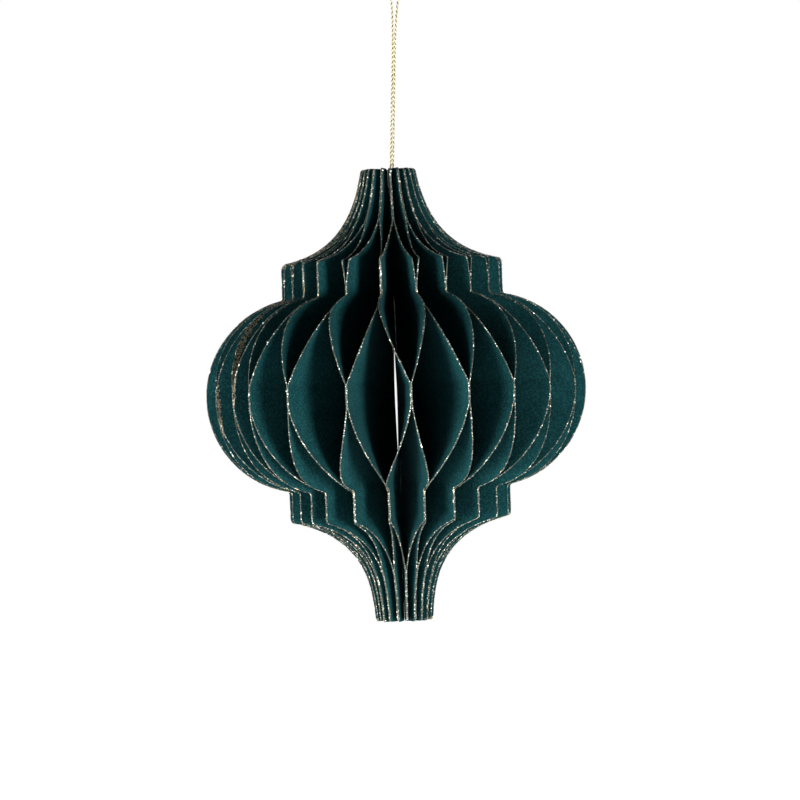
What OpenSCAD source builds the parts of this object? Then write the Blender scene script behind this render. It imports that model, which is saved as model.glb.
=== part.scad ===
/* [Paper body] */
// Half of the height of the paper body
half_h = 50; // [47:0.5:60]
// Radius at the end of the upper neck
top_neck_r = 6.1; // [4.5:0.1:9]
// Radius at the end of the lower neck
foot_neck_r = 6.4; // [4.5:0.1:9]
// Radius of the two straight steps between the necks and the belly
step_r = 24.5; // [22:0.5:28]
// Height of the upper step's top edge above the middle
upper_step_z = 29.4; // [27:0.2:33]
// Depth of the lower step's bottom edge below the middle
lower_step_z = 27.4; // [26:0.2:31]
// Radius of the body at its widest
belly_r = 42.2; // [39:0.2:46]
// Radius of the belly's round outline, seen from the side
belly_round = 21.4; // [20:0.1:24]
// Height of the widest place above the middle
belly_z = 0.5; // [-1:0.1:2]
// Radius of the round corners at the ends of the necks
end_corner_r = 0.9; // [0.3:0.1:2]

/* [Neck curves] */
// How square the hollow curve of a neck is, where 2 is an ellipse
flare_power = 4; // [2:0.5:6]
// How far the upper curve's centre lies outside the step
top_flare_out = 22; // [10:1:40]
// How far the upper curve's centre lies above the neck's end
top_flare_up = 29; // [15:1:45]
// How far the lower curve's centre lies outside the step
foot_flare_out = 35; // [15:1:50]
// How far the lower curve's centre lies below the neck's end
foot_flare_down = 12; // [6:1:30]

/* [Leaves] */
// Pairs of leaves glued back to back round the body
pairs = 24; // [18:1:27]
// Thickness of the paper
paper_t = 0.2; // [0.12:0.01:0.3]
// Thickness of the film of glue between two leaves
glue_film = 0.02; // [0.01:0.01:0.05]
// How unevenly the leaves are stacked, up or down
stack_slip = 0.15; // [0:0.05:0.6]

/* [Glue lines] */
// Height above the middle from which the upper necks are glued
upper_neck_glue_z = 38.2; // [35:0.1:42]
// Depth below the middle from which the lower necks are glued
lower_neck_glue_z = 38.4; // [35:0.1:42]
// Height above the middle from which the upper steps are glued
upper_step_glue_z = 18.5; // [15:0.1:21]
// Width of the glue at the upper steps
upper_step_glue_w = 5.6; // [3:0.1:8]
// Depth below the middle from which the lower steps are glued, down to their bottom edge
lower_step_glue_z = 19.3; // [15:0.1:21]
// Width of the glue round the belly
belly_glue_w = 4.8; // [2:0.1:8]
// How far the end of a glue line wanders from leaf to leaf
glue_wander = 0.35; // [0:0.05:0.8]

/* [Bows] */
// How long a leaf clings to the step's glue in the upper neck, where 0 is a straight crossing
upper_neck_bow = 0.18; // [-0.3:0.01:0.3]
// The same between the upper step and the belly
upper_belly_bow = 0; // [-0.3:0.01:0.3]
// The same between the belly and the lower step
lower_belly_bow = -0.15; // [-0.3:0.01:0.3]
// The same in the lower neck
lower_neck_bow = 0.1; // [-0.3:0.01:0.3]

/* [Fan] */
// Bearing of the seam that closes the fan, from the front to the right
seam_bearing = -53; // [-90:0.5:90]
// How many degrees the leaves on one side of the seam are drawn towards it
seam_pull_angle = 11.5; // [0:0.5:14]
// How many degrees away from the seam that pull is strongest
seam_pull_from = 27; // [15:0.5:40]
// How many degrees further that pull reaches either way
seam_pull_reach = 19.5; // [18:0.5:30]

/* [Spine] */
// Half of the height of the hollow core that was left unbound
core_h = 23; // [18:0.5:25]
// How far the leaves' inner edges stand back in the unbound core
core_bow = 2.4; // [0.5:0.1:2.5]
// Depth of the opened mouth at the end of each neck
mouth_h = 8; // [4:0.5:10]
// How far the leaves' inner edges stand back at a mouth
mouth_bow = 0.2; // [0.2:0.1:2]
// Height of the strip of dried glue that binds the spine, at each neck
binding_h = 14; // [8:0.5:15]
// Thickness of that strip
binding_t = 0.35; // [0.2:0.05:0.45]
// Width of the slit where the strip's two ends meet at the seam
binding_slit = 0.3; // [0.1:0.05:0.6]

/* [Hanging cord] */
// Diameter of the gold thread
cord_d = 0.48; // [0.4:0.02:0.5]
// Height of the knot under the upper binding
knot_h = 2.4; // [1.5:0.1:3]
// Clearance between the knot and the paper round it
knot_clearance = 0.12; // [0.05:0.01:0.2]

/* [Hidden] */
leaves = 2 * pairs;
leaf_names = [for (k = [1:leaves]) str(k < 10 ? "leaf_0" : "leaf_", k)];

// The spine edges lie side by side round the core, which sets its radius.
leaf_step = 360 / leaves;
core_r = (paper_t + glue_film) / (2 * sin(leaf_step / 2));
binding_r = core_r * cos(leaf_step / 2) - glue_film;
hole_r = binding_r - binding_t;
binding_top = half_h - mouth_h;
binding_foot = binding_top - binding_h;

// The belly's arc meets each step at the step's own radius.
belly_mid_r = belly_r - belly_round;
belly_reach = sqrt(pow(belly_round, 2) - pow(step_r - belly_mid_r, 2));
upper_foot_z = belly_z + belly_reach;
lower_foot_z = belly_z - belly_reach;

// A well spread sequence for the small differences between leaves.
golden_turn = 137.5;
wander_stride = 8;

// The planes on which the glue reaches the upper step's top edge, counted from the seam.
tight_planes = [1, 3, 7, 19, 27, 33, 41];

// How many degrees each plane stands out of the even fan. The list starts again when it is used up.
plane_nudges = [1, 0, -1, 0, 1, 1, 1, -0.5, 0, -1, 0, -1, -0.5, -0.5, -0.5, 0, 0.5, 1, 0, 0, 1, 0.5, 1, 0];

// How many straight stretches each part of a leaf's edge is drawn with.
neck_steps = 2;
flare_steps = 3;
flare_crowding = 2;
upper_foot_steps = 2;
lower_foot_steps = 1;
belly_steps = 5;
closest = 0.35;

// The cord's middle line, which runs up from the knot, round the loop at the top and back.
cord_route = [
    [-0.27, 0, 28],
    [-0.25, 0, 31],
    [-0.15, 0, 35],
    [0.05, 0, 39],
    [0.32, 0, 44],
    [0.64, 0, 50],
    [0.91, 0, 55],
    [1.18, 0, 60],
    [1.45, 0, 65],
    [1.72, 0, 70],
    [1.99, 0, 75],
    [2.22, 0, 80],
    [2.29, 0, 84],
    [2.22, 0, 87],
    [2.02, 0, 90],
    [1.8, 0, 92.3],
    [1.85, 0, 94.2],
    [2.45, 0, 95.5],
    [3.35, 0, 96],
    [4.25, 0, 95.5],
    [4.85, 0, 94.2],
    [4.75, 0, 92.3],
    [4.2, 0, 90],
    [3.62, 0, 87],
    [3.2, 0, 84],
    [2.84, 0, 80],
    [2.53, 0, 75],
    [2.26, 0, 70],
    [1.99, 0, 65],
    [1.72, 0, 60],
    [1.45, 0, 55],
    [1.18, 0, 50],
    [0.86, 0, 44],
    [0.59, 0, 39],
    [0.39, 0, 35],
    [0.29, 0, 31],
    [0.27, 0, 28]
];
cord_sides = 8;
rings_a_stretch = 2;

// Outline of the leaf

// A neck's hollow curve from its end to the step: the radius at a height h above the step's edge.
function flare_r(h, end_h, end_r, out, up) =
    let (
        n = flare_power,
        wide = pow(step_r + out - end_r, n),
        tall = pow(end_h + up, n),
        share = pow(out, n) * pow(up, n) - wide * tall,
        a = (pow(up, n) - tall) / share,
        b = (pow(out, n) - wide) / share
    )
    step_r + out - pow(max(0, 1 - b * pow(end_h + up - h, n)) / a, 1 / n);

// How much the round corner at a neck's end takes off the radius at a height z.
function corner_cut(z) =
    let (past = max(0, abs(z) - half_h + end_corner_r))
    end_corner_r - sqrt(max(0, pow(end_corner_r, 2) - pow(past, 2)));

// The radius of the leaf's cut edge at a height z.
function edge_r(z) = outline_r(z) - corner_cut(z);

// The same without the round corners.
function outline_r(z) =
    z > upper_step_z
    ? flare_r(z - upper_step_z, half_h - upper_step_z, top_neck_r, top_flare_out, top_flare_up)
    : z < -lower_step_z
    ? flare_r(-z - lower_step_z, half_h - lower_step_z, foot_neck_r, foot_flare_out, foot_flare_down)
    : z > upper_foot_z || z < lower_foot_z
    ? step_r
    : belly_mid_r + sqrt(pow(belly_round, 2) - pow(z - belly_z, 2));

// How far the leaf's spine edge stands back from the bound core at a height z.
function spine_back(z) =
    let (
        in_core = 1 - pow(z / core_h, 2),
        in_mouth = (abs(z) - half_h + mouth_h) / mouth_h
    )
    in_core > 0 ? core_bow * in_core : mouth_bow * max(0, in_mouth);

// Glue lines

// A small difference for the glue line i on plane p.
function wander(p, i) = glue_wander * sin(golden_turn * (wander_stride * (p % leaves) + i));

// Whether the glue reaches the upper step's top edge on plane p.
function is_tight(p) = len([for (q = tight_planes) if (q == p) q]) > 0;

// Heights where a leaf starts to leave one plane for the other, from the top down.
// Plane a carries the glue of the necks and the belly, and plane b that of the steps.
function glue_ends(a, b) = [
    upper_neck_glue_z + wander(a, 0),
    is_tight(b) ? upper_step_z : upper_step_glue_z + upper_step_glue_w + wander(b, 1),
    upper_step_glue_z + wander(b, 2),
    belly_glue_w / 2 + wander(a, 3),
    -belly_glue_w / 2 + wander(a, 4),
    -lower_step_glue_z + wander(b, 5),
    -lower_step_z,
    -lower_neck_glue_z + wander(a, 6)
];

// The way from plane a to plane b, from 0 to 1, over a share t of a free stretch with this bow.
function bowed(t, bow) = t + bow * sin(180 * t);

// How near a leaf with these glue ends is to plane b at a height z.
function toward_b(z, g) =
    z >= g[0] || z <= g[7] ? 0
    : z > g[1] ? bowed((g[0] - z) / (g[0] - g[1]), upper_neck_bow)
    : z >= g[2] ? 1
    : z > g[3] ? bowed((z - g[3]) / (g[2] - g[3]), upper_belly_bow)
    : z >= g[4] ? 0
    : z > g[5] ? bowed((g[4] - z) / (g[4] - g[5]), lower_belly_bow)
    : z >= g[6] ? 1
    : bowed((z - g[7]) / (g[6] - g[7]), lower_neck_bow);

// Planes of the fan

// Bearing of plane p round the core, and where it points once the seam draws it in.
function core_bearing(p) = seam_bearing + p * leaf_step;
function from_seam(p) = p * leaf_step > 180 ? p * leaf_step - 360 : p * leaf_step;
function plane_nudge(p) = plane_nudges[p % leaves % len(plane_nudges)];
function plane_bearing(p) =
    let (x = (from_seam(p) - seam_pull_from) / seam_pull_reach)
    core_bearing(p) - seam_pull_angle * exp(-x * x / 2) + plane_nudge(p);

// A bearing counts from the front, at -Y, to the right, at +X.
function bearing_to(v) = [sin(v), -cos(v)];

// The point of plane p at a distance s outwards from its core point.
function plane_point(p, s) = core_r * bearing_to(core_bearing(p)) + s * bearing_to(plane_bearing(p));

// Leaf

// Heights from one value down to the next, without the last.
function heights(from, to, n, crowding = 1) =
    [for (i = [0:n - 1]) to + (from - to) * pow(1 - i / n, crowding)];

// Heights on the belly's arc between two heights, evenly spaced by angle.
function arc_heights(from, to, n) =
    let (
        a = asin(max(-1, min(1, (from - belly_z) / belly_round))),
        b = asin(max(-1, min(1, (to - belly_z) / belly_round)))
    )
    [for (i = [0:n - 1]) belly_z + belly_round * sin(a + (b - a) * i / n)];

function sorted(v) =
    len(v) < 2
    ? v
    : let (
        m = v[floor(len(v) / 2)],
        above = [for (x = v) if (x > m) x],
        same = [for (x = v) if (x == m) x],
        below = [for (x = v) if (x < m) x]
    )
    concat(sorted(above), same, sorted(below));

// The list without the heights that nearly repeat the one before.
function thinned(v) = [for (i = [0:len(v) - 1]) if (i == 0 || v[i - 1] - v[i] > closest) v[i]];

// All heights at which a leaf's section is worked out. The leaf is cut to the outline and then slips.
function stations(g, slip) =
    thinned(sorted(concat(
        [half_h + slip],
        heights(half_h - end_corner_r + slip, g[0], neck_steps),
        heights(g[0], upper_step_z + slip, flare_steps, flare_crowding),
        [upper_step_z + slip, g[1]],
        arc_heights(upper_foot_z + slip, g[2], upper_foot_steps),
        arc_heights(g[2], g[3], belly_steps),
        [g[3]],
        arc_heights(g[4], g[5], belly_steps),
        arc_heights(g[5], lower_foot_z + slip, lower_foot_steps),
        [lower_foot_z + slip, -lower_step_z + slip],
        [for (h = heights(-g[7], lower_step_z - slip, flare_steps, flare_crowding)) -h],
        heights(g[7], -half_h + end_corner_r + slip, neck_steps),
        [-half_h + end_corner_r + slip, -half_h + slip]
    )));

// The four corners of a leaf's section, between plane p and the next one.
function section(p, z, slip, toward_next) =
    let (
        s_in = spine_back(z - slip),
        s_out = edge_r(z - slip) - core_r,
        ends = [for (s = [s_in, s_out]) [plane_point(p, s), plane_point(p + 1, s)]],
        room = [for (e = ends) norm(e[1] - e[0])],
        low = [for (w = room) (glue_film / 2 + toward_next * (w - glue_film - paper_t)) / w],
        high = [for (i = [0, 1]) low[i] + paper_t / room[i]]
    )
    [
        for (c = [[0, low[0]], [1, low[1]], [1, high[1]], [0, high[0]]])
            let (e = ends[c[0]], q = e[0] + c[1] * (e[1] - e[0]))
            [q[0], q[1], z]
    ];

// Faces of a solid with four corners at each of n heights, from the top down.
function strip_faces(n) =
    concat(
        [[3, 2, 1, 0]],
        [
            for (i = [0:n - 2])
                for (j = [0:3])
                    let (a = 4 * i + j, b = 4 * i + (j + 1) % 4)
                    each j < 2 ? [[a, b, b + 4], [a, b + 4, a + 4]] : [[a, b, a + 4], [b, b + 4, a + 4]]
        ],
        [[for (j = [0:3]) 4 * (n - 1) + j]]
    );

module leaf(k) {
    p = k - 1;
    a = p % 2 == 0 ? p : p + 1;
    b = p % 2 == 0 ? p + 1 : p;
    g = glue_ends(a, b);
    slip = stack_slip * sin(golden_turn * k);
    levels = stations(g, slip);
    corners = [
        for (z = levels)
            let (w = toward_b(z, g))
            each section(p, z, slip, p % 2 == 0 ? w : 1 - w)
    ];
    color([0.06, 0.25, 0.24])
        polyhedron(corners, strip_faces(len(levels)));
}

// Binding

// The strip of dried glue on the spine edges, rolled into an open tube by the fan.
module binding(foot, top) {
    color([0.75, 0.72, 0.62])
        difference() {
            rotate_extrude($fn = 64)
                translate([hole_r, foot])
                    square([binding_t, top - foot]);
            rotate([0, 0, seam_bearing - 90])
                translate([0, -binding_slit / 2, foot - binding_slit])
                    cube([2 * core_r, binding_slit, top - foot + 2 * binding_slit]);
        }
}

module upper_binding() {
    binding(binding_foot, binding_top);
}

module lower_binding() {
    binding(-binding_top, -binding_foot);
}

// Cord and knot

// A smooth curve through the route's points, at a share t of stretch i.
function along(i, t) =
    let (
        last = len(cord_route) - 1,
        a = cord_route[max(0, i - 1)],
        b = cord_route[i],
        c = cord_route[min(last, i + 1)],
        d = cord_route[min(last, i + 2)]
    )
    (2 * b + (c - a) * t + (2 * a - 5 * b + 4 * c - d) * t * t + (3 * b - a - 3 * c + d) * t * t * t) / 2;

module hanging_cord() {
    last = len(cord_route) - 1;
    line = [
        for (i = [0:last - 1])
            for (j = [0:rings_a_stretch - 1])
                along(i, j / rings_a_stretch),
        cord_route[last]
    ];
    n = len(line);
    rings = [
        for (i = [0:n - 1])
            let (
                ahead = line[min(n - 1, i + 1)] - line[max(0, i - 1)],
                upright = i == 0 || i == n - 1,
                run = upright ? [0, 0, i == 0 ? 1 : -1] : ahead / norm(ahead),
                across = [run[2], 0, -run[0]]
            )
            for (j = [0:cord_sides - 1])
                line[i] + cord_d / 2 * (cos(360 * j / cord_sides) * across + [0, sin(360 * j / cord_sides), 0])
    ];
    walls = [
        for (i = [0:n - 2])
            for (j = [0:cord_sides - 1])
                let (a = cord_sides * i + j, b = cord_sides * i + (j + 1) % cord_sides)
                each [[a, b + cord_sides, b], [a, a + cord_sides, b + cord_sides]]
    ];
    start_cap = [for (j = [0:cord_sides - 1]) j];
    end_cap = [for (j = [0:cord_sides - 1]) cord_sides * n - 1 - j];
    color([0.86, 0.76, 0.45])
        polyhedron(rings, concat([start_cap], walls, [end_cap]));
}

// The knot is wider than the hole in the binding, so it can't be drawn through.
module cord_knot() {
    knot_r = core_r - knot_clearance;
    end_r = (hole_r + knot_r) / 2;
    bulge = knot_r - end_r;
    side_r = (pow(knot_h / 2, 2) + pow(bulge, 2)) / (2 * bulge);
    color([0.86, 0.76, 0.45])
        translate([0, 0, binding_foot - knot_h / 2])
            rotate_extrude($fn = 48)
                intersection() {
                    translate([0, -knot_h / 2])
                        square([knot_r, knot_h]);
                    translate([knot_r - side_r, 0])
                        circle(r = side_r, $fn = 256);
                }
}

for (k = [1:leaves]) leaf(k);
upper_binding();
lower_binding();
hanging_cord();
cord_knot();
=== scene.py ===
# %% [markdown]
# # A pleated paper bauble with glittered edges
#
# The ornament is a stack of forty-eight like leaves of dark green paper. Each leaf is half of the
# ornament's outline, cut with a die. The stack is bound along its straight edge, opened like a fan
# through a full turn, and closed at a seam. Neighbouring leaves are glued at the necks and round the
# belly on one side, and at the two steps on the other, so the fan opens into cells. This lesson loads
# the plain model of it as a fixed frame, and dresses it piece by piece.
#
# All sizes below are in millimetres unless a comment says otherwise, and MM turns them into metres.

# %% Load the plain model as the frame
import math

import bpy
import numpy as np
from mathutils import Matrix, Vector


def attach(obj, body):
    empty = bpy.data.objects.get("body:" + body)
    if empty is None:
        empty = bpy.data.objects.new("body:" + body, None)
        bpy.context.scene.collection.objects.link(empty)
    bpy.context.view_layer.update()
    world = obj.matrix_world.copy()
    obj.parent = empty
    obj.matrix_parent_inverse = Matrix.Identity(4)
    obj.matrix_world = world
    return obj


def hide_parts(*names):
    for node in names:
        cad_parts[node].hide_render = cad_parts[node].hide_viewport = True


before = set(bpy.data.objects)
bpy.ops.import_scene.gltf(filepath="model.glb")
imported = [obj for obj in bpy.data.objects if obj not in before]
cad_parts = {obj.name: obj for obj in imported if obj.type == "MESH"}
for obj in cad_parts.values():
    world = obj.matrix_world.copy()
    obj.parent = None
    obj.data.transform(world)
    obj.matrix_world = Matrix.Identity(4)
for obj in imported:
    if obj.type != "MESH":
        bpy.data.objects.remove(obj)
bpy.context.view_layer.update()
MM = 0.001

# %% [markdown]
# ## The camera
#
# A long lens, 0.7 m away at the height of the belly, gives the mild perspective of a product photo.
# The ornament hangs a little askew, so the camera is rolled instead, and the model stays upright.
# Lengths in this cell are in metres.

# %% Aim a long lens at the middle of the ornament
CAMERA_DISTANCE = 0.7
VIEW_WIDTH = 0.1778
LEAN = math.radians(2.17)
ASIDE, BELOW = 0.00084, 0.00117

view_right = Vector((math.cos(LEAN), 0, -math.sin(LEAN)))
view_up = Vector((math.sin(LEAN), 0, math.cos(LEAN)))
to_viewer = Vector((0, -1, 0))
lens = bpy.data.cameras.new("studio_camera")
lens.sensor_width = 36
lens.lens = lens.sensor_width * CAMERA_DISTANCE / VIEW_WIDTH
camera = bpy.data.objects.new("studio_camera", lens)
spot = CAMERA_DISTANCE * to_viewer + ASIDE * view_right - BELOW * view_up
turned = Matrix((view_right, view_up, to_viewer)).transposed().to_4x4()
camera.matrix_world = Matrix.Translation(spot) @ turned
bpy.context.scene.collection.objects.link(camera)
bpy.context.scene.camera = camera
print("lens of", round(lens.lens, 1), "mm")

# %% [markdown]
# ## Making meshes from arrays
#
# Every piece below is worked out with numpy as an array of points and an array of faces, because
# leaves, beads of glitter and twisted thread all follow formulas. One helper turns such arrays into a
# Blender object that rides on the ornament's single body. Another gives the faces of a closed tube.

# %% Helpers that make a piece and the faces of a tube
def add_piece(name, points, faces, materials, face_material=None, fields=None, smooth_below=40):
    """A mesh piece from points in millimetres. fields are named numbers, one for each point.

    An edge is drawn smooth where its faces meet at fewer degrees than smooth_below.
    """
    mesh = bpy.data.meshes.new(name)
    mesh.from_pydata((np.asarray(points) * MM).tolist(), [], [list(f) for f in faces])
    for label, values in (fields or {}).items():
        layer = mesh.attributes.new(label, "FLOAT", "POINT")
        layer.data.foreach_set("value", np.asarray(values, np.float32))
    for material in materials:
        mesh.materials.append(material)
    if face_material is not None:
        mesh.polygons.foreach_set("material_index", np.asarray(face_material, np.int32))
    mesh.polygons.foreach_set("use_smooth", np.ones(len(mesh.polygons), bool))
    mesh.set_sharp_from_angle(angle=math.radians(smooth_below))
    mesh.validate()
    piece = bpy.data.objects.new(name, mesh)
    bpy.context.scene.collection.objects.link(piece)
    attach(piece, "root")
    return piece


def tube_faces(rings, sides):
    """Faces of a closed tube of rings with so many points each, and with a cap on either end."""
    i, j = np.meshgrid(np.arange(rings - 1), np.arange(sides), indexing="ij")
    a, b = sides * i + j, sides * i + (j + 1) % sides
    walls = np.stack([a, b, b + sides, a + sides], -1).reshape(-1, 4).tolist()
    return walls + [list(range(sides))[::-1], list(range(sides * (rings - 1), sides * rings))]

# %% [markdown]
# ## Shader helpers
#
# Materials are built from nodes. The helpers below only shorten the writing. Most add one node, set
# its inputs and give back its output. new_group starts a node group with named inputs and outputs, and
# new_material starts a finish.

# %% Helpers for nodes and node groups
def add_node(tree, kind, inputs=None, **settings):
    """A node with its settings and inputs. An input is a number, a colour, or another node's output."""
    made = tree.nodes.new(kind)
    for key, value in settings.items():
        setattr(made, key, value)
    for key, value in (inputs or {}).items():
        if isinstance(value, bpy.types.NodeSocket):
            tree.links.new(value, made.inputs[key])
        else:
            made.inputs[key].default_value = value
    return made


def calc(tree, operation, a, b, clamp=False):
    """The output of a Math node."""
    made = add_node(tree, "ShaderNodeMath", {0: a, 1: b}, operation=operation, use_clamp=clamp)
    return made.outputs[0]


def move(tree, operation, a, b=(0, 0, 0)):
    """The output of a Vector Math node."""
    return add_node(tree, "ShaderNodeVectorMath", {0: a, 1: b}, operation=operation).outputs[0]


def ramp(tree, value, low, high, to_low=0.0, to_high=1.0):
    """A soft step from to_low to to_high, as the value goes from low to high."""
    sockets = {"Value": value, "From Min": low, "From Max": high, "To Min": to_low, "To Max": to_high}
    return add_node(tree, "ShaderNodeMapRange", sockets, interpolation_type="SMOOTHSTEP").outputs[0]


def blend_colour(tree, share, a, b):
    """Colour a for a share of 0, and colour b for a share of 1."""
    return add_node(tree, "ShaderNodeMix", {0: share, 6: a, 7: b}, data_type="RGBA").outputs[2]


def carried(tree, label):
    """A number that the points of a mesh carry under this label."""
    return add_node(tree, "ShaderNodeAttribute", attribute_name=label).outputs["Fac"]


def new_group(name, inputs, outputs):
    """A node group. inputs and outputs map a socket's name to its kind and, for inputs, its value."""
    tree = bpy.data.node_groups.new(name, "ShaderNodeTree")
    for label, (kind, value) in inputs.items():
        socket = tree.interface.new_socket(label, in_out="INPUT", socket_type=kind)
        if value is not None:
            socket.default_value = value
    for label, kind in outputs.items():
        tree.interface.new_socket(label, in_out="OUTPUT", socket_type=kind)
    return tree, tree.nodes.new("NodeGroupInput").outputs, tree.nodes.new("NodeGroupOutput").inputs


def new_material(name, **sockets):
    """A material with a Principled BSDF. sockets maps its input names, with _ for a space, to values."""
    material = bpy.data.materials.new(name)
    material.use_nodes = True
    shader = material.node_tree.nodes["Principled BSDF"]
    for key, value in sockets.items():
        shader.inputs[key.replace("_", " ")].default_value = value
    return material, material.node_tree, shader


def use_group(tree, group, **inputs):
    """The outputs of a node group. inputs maps its input names, with _ for a space, to values."""
    named = {key.replace("_", " "): value for key, value in inputs.items()}
    return add_node(tree, "ShaderNodeGroup", named, node_tree=group).outputs

# %% [markdown]
# ## Glitter and fibre
#
# Two effects come back in several finishes. Glitter is a crowd of tiny flat mirrors, each tilted its
# own way, so a cell texture gives each grain its own tilt and a colour between dull and bright. That colour
# is partly the grain's own tone and partly painted sparkle. It also breaks up the shine of the thread.
# Paper has fibres: fine noise that lifts the surface a little and lightens it where fibres stand up.
# The same noise, made coarser, ripples the dried glue.

# %% The glitter group
FLOAT, COLOUR, VECTOR = "NodeSocketFloat", "NodeSocketColor", "NodeSocketVector"

glitter, given, wanted = new_group(
    "glitter_grains",
    {
        "Grains a metre": (FLOAT, 5200.0),
        "Tilt": (FLOAT, 0.9),
        "Bright": (COLOUR, (0.95, 0.83, 0.55, 1)),
        "Dull": (COLOUR, (0.5, 0.38, 0.2, 1)),
    },
    {"Colour": COLOUR, "Chance": FLOAT, "Normal": VECTOR},
)
place = add_node(glitter, "ShaderNodeTexCoord").outputs["Object"]
cells = add_node(glitter, "ShaderNodeTexVoronoi", {"Vector": place, "Scale": given["Grains a metre"]}).outputs
cell_sides = add_node(glitter, "ShaderNodeSeparateColor", {"Color": cells["Color"]}).outputs
# Partly painted sparkle: each cell's colour lies at random between Dull and Bright. This is partly the
# grain's own tone, and partly stands in for grains that catch the light and grains that miss it.
glitter.links.new(blend_colour(glitter, cell_sides["Red"], given["Dull"], given["Bright"]), wanted["Colour"])
glitter.links.new(cell_sides["Green"], wanted["Chance"])
any_way = move(glitter, "SUBTRACT", cells["Color"], (0.5, 0.5, 0.5))
sockets = {0: any_way, "Scale": given["Tilt"]}
lean = add_node(glitter, "ShaderNodeVectorMath", sockets, operation="SCALE").outputs[0]
face = add_node(glitter, "ShaderNodeNewGeometry").outputs["Normal"]
glitter.links.new(move(glitter, "NORMALIZE", move(glitter, "ADD", face, lean)), wanted["Normal"])

# %% The fibre group
fibre, given, wanted = new_group(
    "paper_fibre",
    {"Fibres a metre": (FLOAT, 3000.0), "Clouds a metre": (FLOAT, 160.0)},
    {"Height": FLOAT, "Nap": FLOAT, "Cloud": FLOAT},
)
place = add_node(fibre, "ShaderNodeTexCoord").outputs["Object"]
fine = add_node(
    fibre, "ShaderNodeTexNoise",
    {"Vector": place, "Scale": given["Fibres a metre"], "Detail": 3.0, "Roughness": 0.6, "Distortion": 0.6},
).outputs["Fac"]
cloud = add_node(
    fibre, "ShaderNodeTexNoise", {"Vector": place, "Scale": given["Clouds a metre"], "Detail": 4.0},
).outputs["Fac"]
fibre.links.new(fine, wanted["Height"])
fibre.links.new(ramp(fibre, fine, 0.44, 0.64), wanted["Nap"])
fibre.links.new(ramp(fibre, cloud, 0.3, 0.7), wanted["Cloud"])
print("groups:", [g.name for g in bpy.data.node_groups])

# %% [markdown]
# ## The hanging cord
#
# A thin metallic thread leaves its knot inside the upper neck, makes a long loop and comes back down
# beside itself. It hangs from its loop, out of the picture, so both legs are straight. The real thread
# is two thin plies of gold foil yarn laid round each other, and seen together the two legs make small
# arrowheads. Each ply is swept as its own tube round the thread's middle line.

# %% The cord's route, as in the plain model
CORD_ROUTE = [
    (-0.27, 28), (-0.25, 31), (-0.15, 35), (0.05, 39), (0.32, 44), (0.64, 50), (0.91, 55), (1.18, 60),
    (1.45, 65), (1.72, 70), (1.99, 75), (2.22, 80), (2.29, 84), (2.22, 87), (2.02, 90), (1.8, 92.3),
    (1.85, 94.2), (2.45, 95.5), (3.35, 96), (4.25, 95.5), (4.85, 94.2), (4.75, 92.3), (4.2, 90),
    (3.62, 87), (3.2, 84), (2.84, 80), (2.53, 75), (2.26, 70), (1.99, 65), (1.72, 60), (1.45, 55),
    (1.18, 50), (0.86, 44), (0.59, 39), (0.39, 35), (0.29, 31), (0.27, 28),
]
CORD_D = 0.48
ROUTE_STEP = 0.12


def smooth_route(points, step):
    """Points every step or so on a smooth curve through the route."""
    p = np.array(points, float)
    p = np.vstack([p[:1], p, p[-1:]])
    line = []
    for a, b, c, d in zip(p[:-3], p[1:-2], p[2:-1], p[3:]):
        n = max(2, round(np.linalg.norm(c - b) / step))
        t = (np.arange(n) / n)[:, None]
        bend = (2 * a - 5 * b + 4 * c - d) * t**2 + (3 * b - a - 3 * c + d) * t**3
        line.append((2 * b + (c - a) * t + bend) / 2)
    return np.vstack(line + [p[-1:]])


cord_line = smooth_route([(x, 0, z) for x, z in CORD_ROUTE], ROUTE_STEP)
stretches = np.linalg.norm(np.diff(cord_line, axis=0), axis=1)
along_cord = np.concatenate([[0], np.cumsum(stretches)])
cord_length = along_cord[-1]
print("cord:", round(cord_length, 1), "mm on", len(cord_line), "points")

# %% The finish of the gold thread, with painted shade in the groove between its plies
gold_thread, tree, shader = new_material("gold_thread", Metallic=0.4, Roughness=0.5)
strands = use_group(tree, glitter, Grains_a_metre=6000.0, Tilt=0.4,
                    Bright=(0.62, 0.56, 0.36, 1), Dull=(0.42, 0.35, 0.17, 1))
# Painted shade: near the thread's middle, in the groove between the plies, the colour is painted nearly
# black, and the strands' colour shows only on the crowns.
crown_mm = carried(tree, "crown_mm")
clear_of_groove_shade = ramp(tree, crown_mm, 0.15, 0.215)
gold = blend_colour(tree, clear_of_groove_shade, (0.045, 0.03, 0.008, 1), strands["Colour"])
tree.links.new(gold, shader.inputs["Base Color"])
tree.links.new(strands["Normal"], shader.inputs["Normal"])

# %% Sweep the plies along the route
PLY_PITCH = 2.0
PLY_D = 0.28
PLY_SIDES = 7


def ply_points(line, start_angle, hand):
    """Points of one ply, and how far each lies from the thread's middle.

    A hand of -1 twists it the other way.
    """
    run = np.gradient(line, axis=0)
    run /= np.linalg.norm(run, axis=1)[:, None]
    across = np.cross([0, 1, 0], run)
    beside = np.cross(run, across)
    steps = np.concatenate([[0], np.linalg.norm(np.diff(line, axis=0), axis=1)])
    turn = start_angle + np.cumsum(steps * hand) * 2 * math.pi / PLY_PITCH
    off_middle = (CORD_D - PLY_D) / 2
    middle = line + off_middle * (np.cos(turn)[:, None] * across + np.sin(turn)[:, None] * beside)
    way = np.gradient(middle, axis=0)
    way /= np.linalg.norm(way, axis=1)[:, None]
    u = across - np.sum(across * way, axis=1)[:, None] * way
    u /= np.linalg.norm(u, axis=1)[:, None]
    v = np.cross(way, u)
    angles = np.arange(PLY_SIDES) * 2 * math.pi / PLY_SIDES
    ring = np.cos(angles)[None, :, None] * u[:, None] + np.sin(angles)[None, :, None] * v[:, None]
    points = middle[:, None] + PLY_D / 2 * ring
    return points.reshape(-1, 3), np.linalg.norm(points - line[:, None], axis=2).ravel()


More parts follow.
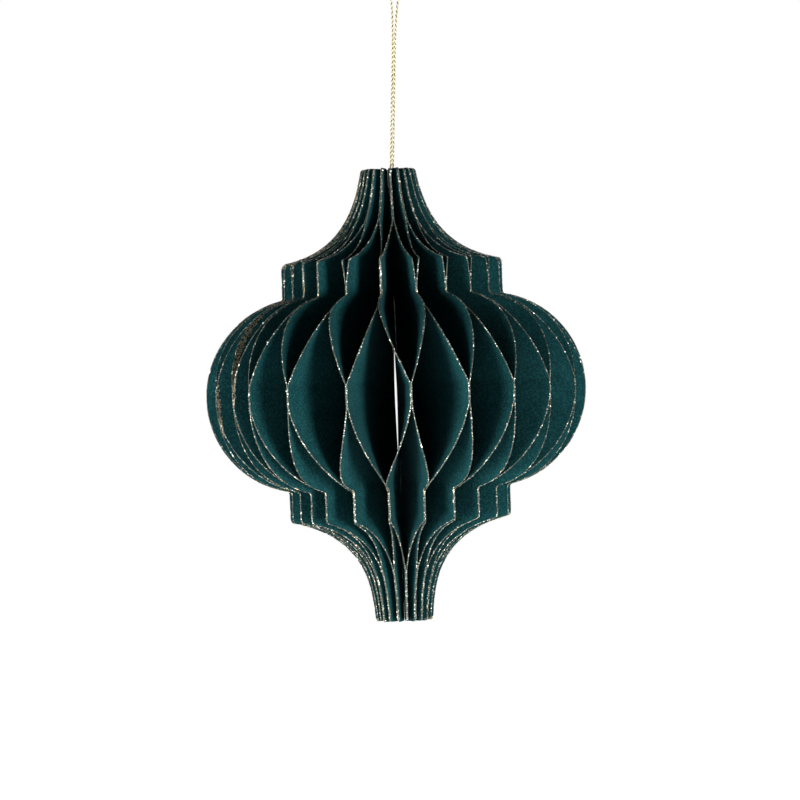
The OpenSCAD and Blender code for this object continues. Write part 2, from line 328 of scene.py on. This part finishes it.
def twisted_thread(name, line, hand):
    """A piece of thread along a line, made of two plies."""
    plies = [ply_points(line, start, hand) for start in (0.0, math.pi)]
    one = tube_faces(len(line), PLY_SIDES)
    other = [[v + len(plies[0][0]) for v in f] for f in one]
    return add_piece(
        name, np.vstack([points for points, _ in plies]), one + other, [gold_thread],
        fields={"crown_mm": np.concatenate([crowns for _, crowns in plies])}, smooth_below=60,
    )


cord_hand = np.where(along_cord < cord_length / 2, 1.0, -1.0)
cord = twisted_thread("gold_cord", cord_line, cord_hand)
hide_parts("hanging_cord")
print("cord mesh:", len(cord.data.polygons), "faces")

# %% [markdown]
# ## The knot
#
# The two ends of the thread are tied under the glued spine of the upper neck, so the loop can't be
# drawn out. A small overhand knot is a trefoil curve. Its thread has two plies too.

KNOT_FOOT, KNOT_H = 25.6, 2.4
KNOT_R = 1.3
KNOT_POINTS = 240

t = np.linspace(0, 2 * math.pi, KNOT_POINTS, endpoint=False)
trefoil = np.stack([
    (np.sin(t) + 2 * np.sin(2 * t)) / 3,
    (np.cos(t) - 2 * np.cos(2 * t)) / 3,
    -np.sin(3 * t),
], -1)
knot_reach = [KNOT_R, KNOT_R, (KNOT_H - CORD_D) / 2]
knot_line = trefoil * knot_reach + [0, 0, KNOT_FOOT + KNOT_H / 2]
knot_line = np.vstack([knot_line, knot_line[:1]])
knot = twisted_thread("gold_knot", knot_line, np.ones(len(knot_line)))
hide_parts("cord_knot")

# %% [markdown]
# ## The cut of a leaf
#
# All leaves are cut with one die, so the outline is worked out once. It is the plain model's outline:
# a hollow curve from each neck to its step, a short straight step, and the round belly between them.
# A real die can't cut a sharp corner, so here the line is evened out, which rounds each corner. The
# level ends at the top and the foot are left off, so that the line falls all the way.

# %% The outline, from the top of the spine round to its foot
HALF_H = 50
TOP_NECK_R, FOOT_NECK_R, STEP_R, BELLY_R = 6.1, 6.4, 24.5, 42.2
UPPER_STEP_Z, LOWER_STEP_Z = 29.4, 27.4
BELLY_ROUND, BELLY_Z = 21.4, 0.5
FLARE_POWER = 4
TOP_FLARE, FOOT_FLARE = (22, 29), (35, 12)
BELLY_MID_R = BELLY_R - BELLY_ROUND
BELLY_REACH = math.sqrt(BELLY_ROUND**2 - (STEP_R - BELLY_MID_R) ** 2)
CORNER_ROUNDING = 1.1


def flare_r(h, end_h, end_r, out, up):
    """Radius of a neck's hollow curve at a height h above its step."""
    n = FLARE_POWER
    wide, tall = (STEP_R + out - end_r) ** n, (end_h + up) ** n
    share = out**n * up**n - wide * tall
    a, b = (up**n - tall) / share, (out**n - wide) / share
    return STEP_R + out - (np.maximum(0, 1 - b * (end_h + up - h) ** n) / a) ** (1 / n)


def sharp_r(z):
    """Radius of the outline at a height z, with sharp corners."""
    top = flare_r(np.maximum(z - UPPER_STEP_Z, 0), HALF_H - UPPER_STEP_Z, TOP_NECK_R, *TOP_FLARE)
    foot = flare_r(np.maximum(-z - LOWER_STEP_Z, 0), HALF_H - LOWER_STEP_Z, FOOT_NECK_R, *FOOT_FLARE)
    belly = BELLY_MID_R + np.sqrt(np.maximum(0, BELLY_ROUND**2 - (z - BELLY_Z) ** 2))
    flat = np.where(np.abs(z - BELLY_Z) > BELLY_REACH, STEP_R, belly)
    return np.where(z > UPPER_STEP_Z, top, np.where(z < -LOWER_STEP_Z, foot, flat))


def evenly(line, step):
    """The same line with a point at every step along it."""
    far = np.concatenate([[0], np.cumsum(np.linalg.norm(np.diff(line, axis=0), axis=1))])
    at = np.linspace(0, far[-1], round(far[-1] / step) + 1)
    return np.stack([np.interp(at, far, line[:, i]) for i in range(2)], -1)


def rounded(line, step, reach):
    """The line with its corners rounded, by a running mean that is taken twice."""
    n = round(reach / step)
    for _ in range(2):
        padded = np.vstack([line[:1]] * n + [line] + [line[-1:]] * n)
        even = np.ones(2 * n + 1) / (2 * n + 1)
        line = np.stack([np.convolve(padded[:, i], even, "valid") for i in range(2)], -1)
    return line


INNER_R = 2.5
DIE_STEP = 0.05
OUTLINE_POINTS = 8001
LEVEL_PART = 0.004

heights = np.linspace(HALF_H, -HALF_H, OUTLINE_POINTS)
sharp_line = np.stack([sharp_r(heights), heights], -1)
sharp_line = np.vstack([[[INNER_R, HALF_H]], sharp_line, [[INNER_R, -HALF_H]]])
cut_line = rounded(evenly(sharp_line, DIE_STEP), DIE_STEP, CORNER_ROUNDING / 2)
cut_line = cut_line[np.abs(cut_line[:, 1]) < HALF_H - LEVEL_PART]
falls = np.diff(np.minimum.accumulate(cut_line[:, 1])) < 0
cut_line = cut_line[np.concatenate([[True], falls])]
print("cut line:", len(cut_line), "points,", round(len(cut_line) * DIE_STEP), "mm long")

# %% [markdown]
# ## Where each leaf lies
#
# Between two neighbours lies a plane of glue. A leaf runs from one plane to the other and back, five
# times from top to foot. The formulas below are the plain model's, so the pieces fit it: where the
# planes point, where the glue starts and ends, and how a leaf bows on its way across.

# %% The planes of the fan and the lines of glue
PAIRS = 24
LEAVES = 2 * PAIRS
PAPER_T, GLUE_FILM = 0.2, 0.02
STACK_SLIP = 0.15
UPPER_NECK_GLUE_Z, LOWER_NECK_GLUE_Z = 38.2, 38.4
UPPER_STEP_GLUE_Z, UPPER_STEP_GLUE_W = 18.5, 5.6
LOWER_STEP_GLUE_Z = 19.3
BELLY_GLUE_W = 4.8
GLUE_WANDER = 0.35
UPPER_NECK_BOW, UPPER_BELLY_BOW, LOWER_BELLY_BOW, LOWER_NECK_BOW = 0.18, 0, -0.15, 0.1
SEAM_BEARING = -53
SEAM_PULL, SEAM_PULL_FROM, SEAM_PULL_REACH = 11.5, 27, 19.5
PLANE_NUDGES = (1, 0, -1, 0, 1, 1, 1, -0.5, 0, -1, 0, -1, -0.5, -0.5, -0.5, 0, 0.5, 1, 0, 0, 1, 0.5, 1, 0)
CORE_H, CORE_BOW = 23, 2.4
MOUTH_H, MOUTH_BOW = 8, 0.2
GOLDEN_TURN, WANDER_STRIDE = 137.5, 8
TIGHT_PLANES = (1, 3, 7, 19, 27, 33, 41)
LEAF_STEP = 360 / LEAVES
CORE_R = (PAPER_T + GLUE_FILM) / (2 * math.sin(math.radians(LEAF_STEP / 2)))


def swing(turns):
    """A number between -1 and 1 that changes with no visible order, as hand work does."""
    return math.sin(math.radians(GOLDEN_TURN * turns))


def wander(plane, line):
    """How far the end of a line of glue on a plane is off its height."""
    return GLUE_WANDER * swing(WANDER_STRIDE * (plane % LEAVES) + line)


def slip_of(leaf):
    """How far a leaf slipped up in the stack."""
    return STACK_SLIP * swing(leaf)


def glue_ends(leaf):
    """Heights where the leaf starts to leave one plane for the other, from the top down."""
    p = leaf - 1
    a, b = (p, p + 1) if p % 2 == 0 else (p + 1, p)
    return [
        UPPER_NECK_GLUE_Z + wander(a, 0),
        UPPER_STEP_Z if b in TIGHT_PLANES else UPPER_STEP_GLUE_Z + UPPER_STEP_GLUE_W + wander(b, 1),
        UPPER_STEP_GLUE_Z + wander(b, 2),
        BELLY_GLUE_W / 2 + wander(a, 3),
        -BELLY_GLUE_W / 2 + wander(a, 4),
        -LOWER_STEP_GLUE_Z + wander(b, 5),
        -LOWER_STEP_Z,
        -LOWER_NECK_GLUE_Z + wander(a, 6),
    ]


def toward_next(leaf, z):
    """How near the leaf is to the plane after it, from 0 to 1, at heights z."""
    g = glue_ends(leaf)
    share = np.interp(z, g[::-1], [0, 1, 1, 0, 0, 1, 1, 0])
    bows = [UPPER_NECK_BOW, UPPER_BELLY_BOW, LOWER_BELLY_BOW]
    bow = np.select([z > g[1], z > 0, z > g[6]], bows, LOWER_NECK_BOW)
    share = share + bow * np.sin(math.pi * share)
    return share if leaf % 2 == 1 else 1 - share


def direction(bearing):
    """The level direction of a bearing, which counts from the front to the right."""
    return np.array([math.sin(math.radians(bearing)), -math.cos(math.radians(bearing))])


def plane_point(plane, s):
    """Points on a plane of glue, at distances s outwards from the core."""
    off = plane % LEAVES * LEAF_STEP
    x = ((off + 180) % 360 - 180 - SEAM_PULL_FROM) / SEAM_PULL_REACH
    nudge = PLANE_NUDGES[plane % LEAVES % len(PLANE_NUDGES)]
    core = SEAM_BEARING + off
    out = SEAM_BEARING + off - SEAM_PULL * math.exp(-x * x / 2) + nudge
    return CORE_R * direction(core) + np.multiply.outer(s, direction(out))


def spine_back(z):
    """How far the inner edge stands back from the bound core at heights z."""
    in_core, in_mouth = 1 - (z / CORE_H) ** 2, (np.abs(z) - HALF_H + MOUTH_H) / MOUTH_H
    return np.where(in_core > 0, CORE_BOW * in_core, MOUTH_BOW * np.maximum(0, in_mouth))


def on_leaf(leaf, r, z, side):
    """Points of a leaf for places r, z of the flat cut.

    side is 0 for its middle, and -1 and 1 for its faces. The function also gives how far each point
    lies from the plane of glue on that side, or from the nearer one.
    """
    slip = slip_of(leaf)
    s = r - CORE_R
    near, far = plane_point(leaf - 1, s), plane_point(leaf, s)
    room = np.linalg.norm(far - near, axis=-1)
    shift = GLUE_FILM / 2 + toward_next(leaf, z + slip) * (room - GLUE_FILM - PAPER_T)
    depth = shift + PAPER_T * (1 + side) / 2
    flat = near + (depth / room)[..., None] * (far - near)
    free = np.where(side < 0, depth, np.where(side > 0, room - depth, np.minimum(depth, room - depth)))
    return np.concatenate([flat, (z + slip)[..., None]], -1), free


print("core radius", round(CORE_R, 2), "mm; leaf 1 leaves its planes at", [round(g, 1) for g in glue_ends(1)])

# %% [markdown]
# ## The paper
#
# The paper is a matt, dyed card with a soft nap. It looks dark green with a little blue, paler where
# light grazes the nap, and its colour is faintly clouded. Glitter that missed the edge sticks to the
# faces beside it. The material reads two numbers that each leaf carries: the distance to the cut edge,
# and how far the glitter strayed there.

# %% The finish of the paper
green_paper, tree, shader = new_material(
    "green_paper", Specular_IOR_Level=0.02, Sheen_Weight=0.02, Sheen_Roughness=0.5,
    Sheen_Tint=(0.5, 0.8, 0.9, 1),
)
dye = use_group(tree, fibre, Fibres_a_metre=2400.0, Clouds_a_metre=140.0)
deep = blend_colour(tree, dye["Cloud"], (0.003, 0.024, 0.027, 1), (0.005, 0.033, 0.037, 1))
napped = blend_colour(tree, calc(tree, "MULTIPLY", dye["Nap"], 0.6), deep, (0.014, 0.08, 0.081, 1))
specks = use_group(tree, glitter, Grains_a_metre=4600.0, Tilt=0.65,
                   Bright=(1.0, 0.88, 0.58, 1), Dull=(0.3, 0.18, 0.07, 1))
edge_mm = carried(tree, "edge_mm")
stray_mm = carried(tree, "stray_mm")
nearness = calc(tree, "SUBTRACT", 1.0, calc(tree, "DIVIDE", edge_mm, stray_mm), clamp=True)
crowding = calc(tree, "MULTIPLY", calc(tree, "MULTIPLY", nearness, 2.0, clamp=True), 0.62)
caught = calc(tree, "GREATER_THAN", crowding, specks["Chance"])
tree.links.new(blend_colour(tree, caught, napped, specks["Colour"]), shader.inputs["Base Color"])
tree.links.new(ramp(tree, caught, 0.0, 1.0, 0.0, 0.8), shader.inputs["Metallic"])
tree.links.new(ramp(tree, caught, 0.0, 1.0, 0.88, 0.34), shader.inputs["Roughness"])
bump = {"Height": dye["Height"], "Distance": 0.00006, "Strength": 0.6}
grain = add_node(tree, "ShaderNodeBump", bump).outputs[0]
either = {0: caught, 4: grain, 5: specks["Normal"]}
tilted = add_node(tree, "ShaderNodeMix", either, data_type="VECTOR").outputs[1]
tree.links.new(tilted, shader.inputs["Normal"])

# %% The finish of the glitter, where a number on each crystal paints it nearly black or bright gold, a painted sparkle
gold_glitter, tree, shader = new_material("gold_glitter", Metallic=0.85, Roughness=0.32)
shade = carried(tree, "shade")
# Painted sparkle: crystals with a low number are painted nearly black, as if turned away from the lights, and
# the rest bright gold.
painted_glint_mask = ramp(tree, shade, 0.3, 0.45)
crystal_colour_with_painted_sparkle = blend_colour(tree, painted_glint_mask, (0.02, 0.03, 0.025, 1), (1.0, 0.97, 0.82, 1))
tree.links.new(crystal_colour_with_painted_sparkle, shader.inputs["Base Color"])
facets = use_group(tree, glitter, Grains_a_metre=9000.0, Tilt=0.3)
tree.links.new(facets["Normal"], shader.inputs["Normal"])

# %% The finish of the glue under the glitter, which has fine dust in it
glitter_glue, tree, shader = new_material("glitter_glue", Metallic=0.5, Roughness=0.5)
dust = use_group(tree, glitter, Grains_a_metre=12000.0, Tilt=0.8,
                 Bright=(0.1, 0.11, 0.08, 1), Dull=(0.008, 0.025, 0.024, 1))
tree.links.new(dust["Colour"], shader.inputs["Base Color"])
tree.links.new(dust["Normal"], shader.inputs["Normal"])

# %% [markdown]
# ## The leaves
#
# Each leaf is a thin closed sheet with rows from the top to the foot and columns from the cut edge in
# to the spine. Rows follow the cut line at even steps, so the corners stay crisp, and more rows lie
# where the leaf starts to leave a plane, so the folds stay crisp too.

# %% Rows and columns of the flat leaf
ROW_STEP = 0.8
ROW_CROWD = 0.15
COLUMNS = np.array([0, 0.006, 0.014, 0.03, 0.06, 0.1, 0.18, 0.32, 0.52, 0.76, 1])
pattern_z = cut_line[:: round(ROW_STEP / DIE_STEP), 1]


def leaf_rows(leaf):
    """Heights of the rows of the flat leaf: those of the folds, and those of the pattern between them."""
    folds = np.array(glue_ends(leaf)) - slip_of(leaf)
    folds = folds[np.abs(folds) < HALF_H - 1]
    kept = pattern_z[np.abs(pattern_z[:, None] - folds).min(1) > ROW_CROWD]
    return np.sort(np.concatenate([kept, folds]))[::-1]


def cut_r(z):
    """Radius of the cut line at a height z."""
    return np.interp(z, cut_line[::-1, 1], cut_line[::-1, 0])


def edge_distance(r, z):
    """How far points of the flat leaf lie from the cut line."""
    line = cut_line[::6]
    flat = np.stack([r, z], -1).reshape(-1, 1, 2)
    return np.sqrt(((flat - line) ** 2).sum(-1)).min(1).reshape(r.shape)


def sheet_faces(rows, columns):
    """Faces of a closed sheet: two faces of rows by columns of points, joined round the rim."""
    n = rows * columns
    i, j = np.meshgrid(np.arange(rows - 1), np.arange(columns - 1), indexing="ij")
    a = (columns * i + j).ravel()
    front = np.stack([a, a + columns, a + columns + 1, a + 1], -1)
    back = front[:, ::-1] + n
    down = columns * np.arange(rows - 1)
    spine = down + columns - 1
    over = np.arange(columns - 1)
    foot = columns * (rows - 1) + over
    rims = [
        np.stack([down, down + n, down + columns + n, down + columns], -1),
        np.stack([spine, spine + columns, spine + columns + n, spine + n], -1),
        np.stack([over, over + 1, over + 1 + n, over + n], -1),
        np.stack([foot, foot + n, foot + 1 + n, foot + 1], -1),
    ]
    return np.vstack([front, back] + rims)


# %% Make each leaf, with the glitter that strayed onto it
STRAY_MM = 0.12
# Each band has a leaf, the height of its middle, half of its own height, and its width.
STRAY_BANDS = [
    (48, 9, 10, 1.7), (1, 2, 3, 0.8), (47, -1, 5, 1.1), (46, -5, 3, 0.7), (47, 26, 5, 0.35), (48, 26, 5, 0.3),
    (2, 26, 4, 0.3), (46, 38, 12, 0.4), (45, 40, 12, 0.6), (48, 20, 4, 0.6), (46, 18, 5, 0.3),
]


def stray_on(leaf, side, z):
    """How far in from the cut edge glitter strayed. Only faces that look forward have bands of it."""
    reach = np.full(z.shape, STRAY_MM)
    for at_leaf, middle, half, width in STRAY_BANDS:
        if at_leaf == leaf and side > 0:
            reach = np.maximum(reach, width * np.sqrt(np.maximum(0, 1 - ((z - middle) / half) ** 2)))
    return reach


def make_leaf(leaf):
    """The paper of one leaf."""
    z_rows = leaf_rows(leaf)
    r_cut = cut_r(z_rows)
    r_in = CORE_R + spine_back(z_rows)
    r = r_cut[:, None] - (r_cut - r_in)[:, None] * COLUMNS
    z = np.repeat(z_rows[:, None], len(COLUMNS), 1)
    faces = [on_leaf(leaf, r, z, side)[0].reshape(-1, 3) for side in (-1, 1)]
    inward = edge_distance(r, z).ravel()
    stray = np.concatenate([stray_on(leaf, side, z).ravel() for side in (-1, 1)])
    piece = add_piece(
        f"paper_leaf_{leaf:02d}", np.vstack(faces), sheet_faces(*r.shape), [green_paper],
        fields={"edge_mm": np.tile(inward, 2), "stray_mm": stray},
    )
    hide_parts(f"leaf_{leaf:02d}")
    return piece


leaf_pieces = [make_leaf(leaf) for leaf in range(1, LEAVES + 1)]
print("leaves:", len(leaf_pieces), "of about", len(leaf_pieces[0].data.polygons), "faces")

# %% [markdown]
# ## The glittered edges
#
# The stack's edge was brushed with glue and dusted with gold glitter before it was fanned out. On each
# leaf this leaves a thin bead on the cut edge, a little wider than the paper and never even. The bead
# is swept round the cut line, with a width that wanders, and grains stand on it at many angles.

# %% Sweep a bead along the cut line of each leaf
BEAD_STEP = 0.4
BEAD_OUT = 0.04
BEAD_PROUD = 0.02
BEAD_WRAP = 0.06
A_LITTLE_IN = 0.3
WRAP_SPREAD, PROUD_SPREAD, TIP_SPREAD = (0.35, 1.5), (0.4, 1.3), (0.5, 1.3)
GLITTER_SEED = 48
rng = np.random.default_rng(GLITTER_SEED)


def edge_frames(leaf, z):
    """Middle points of the cut edge, their outward and sideways directions, and the room beside them."""
    r = cut_r(z)
    tangent = np.stack([np.gradient(r), np.gradient(z)], -1)
    tangent /= np.linalg.norm(tangent, axis=1)[:, None]
    outward = np.stack([-tangent[:, 1], tangent[:, 0]], -1)
    middle, _ = on_leaf(leaf, r, z, np.zeros(len(z)))
    in_r, in_z = r - A_LITTLE_IN * outward[:, 0], z - A_LITTLE_IN * outward[:, 1]
    inner, _ = on_leaf(leaf, in_r, in_z, np.zeros(len(z)))
    out = middle - inner
    out /= np.linalg.norm(out, axis=1)[:, None]
    run = np.gradient(middle, axis=0)
    beside = np.cross(out, run)
    beside /= np.linalg.norm(beside, axis=1)[:, None]
    across = on_leaf(leaf, r, z, np.ones(len(z)))[0] - middle
    beside *= np.sign(np.sum(beside * across, axis=1))[:, None]
    room = [on_leaf(leaf, r, z, np.full(len(z), side))[1] for side in (-1, 1)]
    return middle, out, beside, room


def uneven(n, low, high, grain=3):
    """n numbers between low and high that change from one to the next by little."""
    knots = rng.uniform(low, high, n // grain + 3)
    return np.interp(np.arange(n) / grain, np.arange(len(knots)), knots)


def bead_points(leaf, z):
    """Points of a leaf's bead of glue, ring by ring, and how many points a ring has."""
    middle, out, beside, room = edge_frames(leaf, z)
    n = len(z)
    wraps = [BEAD_WRAP * uneven(n, *WRAP_SPREAD) for _ in range(2)]
    prouds = [np.minimum(BEAD_PROUD * uneven(n, *PROUD_SPREAD), gap) for gap in room]
    tip = BEAD_OUT * uneven(n, *TIP_SPREAD)
    half = PAPER_T / 2
    corners = [
        (-wraps[0], -half * 0.9),
        (-wraps[0] * 0.5, -half - prouds[0]),
        (tip * 0.3, -half - prouds[0] * 0.8),
        (tip, 0 * tip),
        (tip * 0.3, half + prouds[1] * 0.8),
        (-wraps[1] * 0.5, half + prouds[1]),
        (-wraps[1], half * 0.9),
    ]
    rings = [middle + np.reshape(o, (-1, 1)) * out + np.reshape(b, (-1, 1)) * beside for o, b in corners]
    return np.stack(rings, 1).reshape(-1, 3), len(corners)


# %% Scatter grains of glitter on the bead
GRAINS_A_MM = 3.2
GRAIN_R = (0.08, 0.18)
GRAIN_T = 0.035
GRAIN_TURN = 70
TIGHT_ROOM = 0.1
CRYSTAL = [[0, 1, 4], [1, 2, 4], [2, 3, 4], [3, 0, 4], [1, 0, 5], [2, 1, 5], [3, 2, 5], [0, 3, 5]]


def grain_solids(places, facings, sizes):
    """Flat six-cornered crystals, each a closed solid of eight faces round its place."""
    n = len(places)
    facings = facings / np.linalg.norm(facings, axis=1)[:, None]
    u = np.cross(facings, rng.normal(size=(n, 3)))
    u /= np.linalg.norm(u, axis=1)[:, None]
    v = np.cross(facings, u)
    reach = sizes[:, None]
    squash = rng.uniform(0.6, 1.0, (n, 1))
    tips = [u * reach, v * reach * squash, -u * reach, -v * reach * squash]
    ends = [facings * GRAIN_T, -facings * GRAIN_T]
    points = np.stack([places + p for p in tips + ends], 1).reshape(-1, 3)
    return points, (np.array(CRYSTAL)[None] + 6 * np.arange(n)[:, None, None]).reshape(-1, 3)


def grain_points(leaf, z):
    """Points and faces of the crystals on a leaf's bead. Where a neighbour is near, they are smaller."""
    middle, out, beside, room = edge_frames(leaf, z)
    n = round(GRAINS_A_MM * len(z) * BEAD_STEP)
    at = rng.uniform(0, len(z) - 1.01, n)
    i, f = at.astype(int), (at % 1)[:, None]
    spot = middle[i] * (1 - f) + middle[i + 1] * f
    angle = rng.uniform(-GRAIN_TURN, GRAIN_TURN, n) * math.pi / 180
    tight = np.where(angle < 0, room[0][i], room[1][i]) < TIGHT_ROOM
    angle = np.where(tight, angle * 0.35, angle)
    facing = np.cos(angle)[:, None] * out[i] + np.sin(angle)[:, None] * beside[i]
    half = PAPER_T / 2 + BEAD_PROUD * 0.6
    rim = np.cos(angle)[:, None] * BEAD_OUT * 0.8 * out[i] + np.sin(angle)[:, None] * half * beside[i]
    back = np.where(np.abs(angle) > 1.1, rng.uniform(0, BEAD_WRAP, n), 0)[:, None] * out[i]
    sizes = rng.uniform(*GRAIN_R, n) * np.where(tight, 0.7, 1)
    return grain_solids(spot + rim - back, facing + rng.normal(0, 0.35, (n, 3)), sizes)


def make_glitter_edge(leaf):
    """The bead of one leaf with its crystals. Each crystal has a number of its own, which its finish turns
    into painted sparkle.
    """
    line_z = cut_line[:: round(BEAD_STEP / DIE_STEP), 1]
    bead, sides = bead_points(leaf, line_z)
    grains_at, grain_faces = grain_points(leaf, line_z)
    faces = tube_faces(len(line_z), sides) + (grain_faces + len(bead)).tolist()
    # Painted sparkle: each crystal gets a random number, which the glitter finish turns into nearly black or
    # bright gold.
    crystal_sparkle_numbers = np.concatenate([np.full(len(bead), 0.5), np.repeat(rng.uniform(0, 1, len(grains_at) // 6), 6)])
    return add_piece(
        f"glitter_edge_{leaf:02d}", np.vstack([bead, grains_at]), faces,
        [glitter_glue, gold_glitter],
        face_material=np.repeat([0, 1], [len(faces) - len(grain_faces), len(grain_faces)]),
        fields={"shade": crystal_sparkle_numbers}, smooth_below=5,
    )


edge_pieces = [make_glitter_edge(leaf) for leaf in range(1, LEAVES + 1)]
print("glitter edges:", len(edge_pieces), "of about", len(edge_pieces[0].data.polygons), "faces")

# %% [markdown]
# ## The bindings
#
# The strips of dried glue inside the necks keep the plain model's shape, which is right for them. They
# get the finish of dried white glue: a pale, slightly yellow film with a soft gloss and a few ripples.

# %% The finish of the dried glue
dried_glue, tree, shader = new_material("dried_glue", Roughness=0.42, Coat_Weight=0.3)
film = use_group(tree, fibre, Fibres_a_metre=900.0, Clouds_a_metre=300.0)
tint = blend_colour(tree, film["Cloud"], (0.62, 0.57, 0.44, 1), (0.74, 0.71, 0.6, 1))
tree.links.new(tint, shader.inputs["Base Color"])
ripple = add_node(tree, "ShaderNodeBump", {"Height": film["Height"], "Distance": 0.00012, "Strength": 0.7})
tree.links.new(ripple.outputs[0], shader.inputs["Normal"])
for node in ("upper_binding", "lower_binding"):
    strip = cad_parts[node]
    strip.data.materials.clear()
    strip.data.materials.append(dried_glue)

# %% [markdown]
# ## The studio
#
# The photo was taken in a white studio with a soft light on either side of the camera. Each lights
# the faces that are turned to it, about as deep as the gap between two leaves is wide, and leaves the
# rest of a cell nearly black. The right one is smaller, so its shadows are harder. The table throws a
# little cool light up from below, and the white backdrop lights the back. The world and the floor look
# white to the camera, but the world lights the ornament only a little, more from behind than from the
# front. Lengths here are in metres.

# %% World and floor
WORLD_FILL, BACKDROP = 0.02, 0.1
FLOOR_Z, FLOOR_HALF = -0.45, 12

scene = bpy.context.scene
scene.view_settings.view_transform = "Standard"
world = bpy.data.worlds.new("white_studio")
scene.world = world
world.use_nodes = True
tree = world.node_tree
seen = add_node(tree, "ShaderNodeLightPath").outputs["Is Camera Ray"]
way = add_node(tree, "ShaderNodeTexCoord").outputs["Generated"]
backward = add_node(tree, "ShaderNodeSeparateXYZ", {0: way}).outputs["Y"]
glow = calc(tree, "MAXIMUM", seen, ramp(tree, backward, 0.0, 0.7, WORLD_FILL, BACKDROP))
white = tree.nodes["Background"]
white.inputs["Color"].default_value = (1, 1, 1, 1)
tree.links.new(glow, white.inputs["Strength"])

pale_floor, tree, shader = new_material(
    "pale_floor", Base_Color=(0.9, 0.9, 0.9, 1), Roughness=0.9, Emission_Color=(1, 1, 1, 1),
)
seen = add_node(tree, "ShaderNodeLightPath").outputs["Is Camera Ray"]
tree.links.new(seen, shader.inputs["Emission Strength"])
corners = [(FLOOR_HALF * x, FLOOR_HALF * y, FLOOR_Z) for x, y in ((-1, -1), (1, -1), (1, 1), (-1, 1))]
floor_mesh = bpy.data.meshes.new("studio_floor")
floor_mesh.from_pydata(corners, [], [(0, 1, 2, 3)])
floor_mesh.materials.append(pale_floor)
floor = bpy.data.objects.new("studio_floor", floor_mesh)
scene.collection.objects.link(floor)

# %% Lights
AWAY = 1.2


def soft_light(name, bearing, rise, away, size, watts, colour=(1, 1, 1)):
    """A soft round light that points at the ornament. The bearing counts from the front to the right."""
    lamp = bpy.data.lights.new(name, "AREA")
    lamp.shape, lamp.size, lamp.energy, lamp.color = "DISK", size, watts, colour
    across, up = direction(bearing) * math.cos(math.radians(rise)), math.sin(math.radians(rise))
    way = Vector((*across, up))
    holder = bpy.data.objects.new(name, lamp)
    holder.matrix_world = Matrix.Translation(away * way) @ way.to_track_quat("Z", "Y").to_matrix().to_4x4()
    scene.collection.objects.link(holder)


soft_light("right_key", 37, -8, AWAY, 0.4, 22)
soft_light("left_key", -52, -10, AWAY, 0.8, 31)
soft_light("low_fill", -10, -35, 0.7, 0.5, 1, (0.75, 0.9, 1.0))
soft_light("back_fill", 180, 15, AWAY, 1.0, 9)
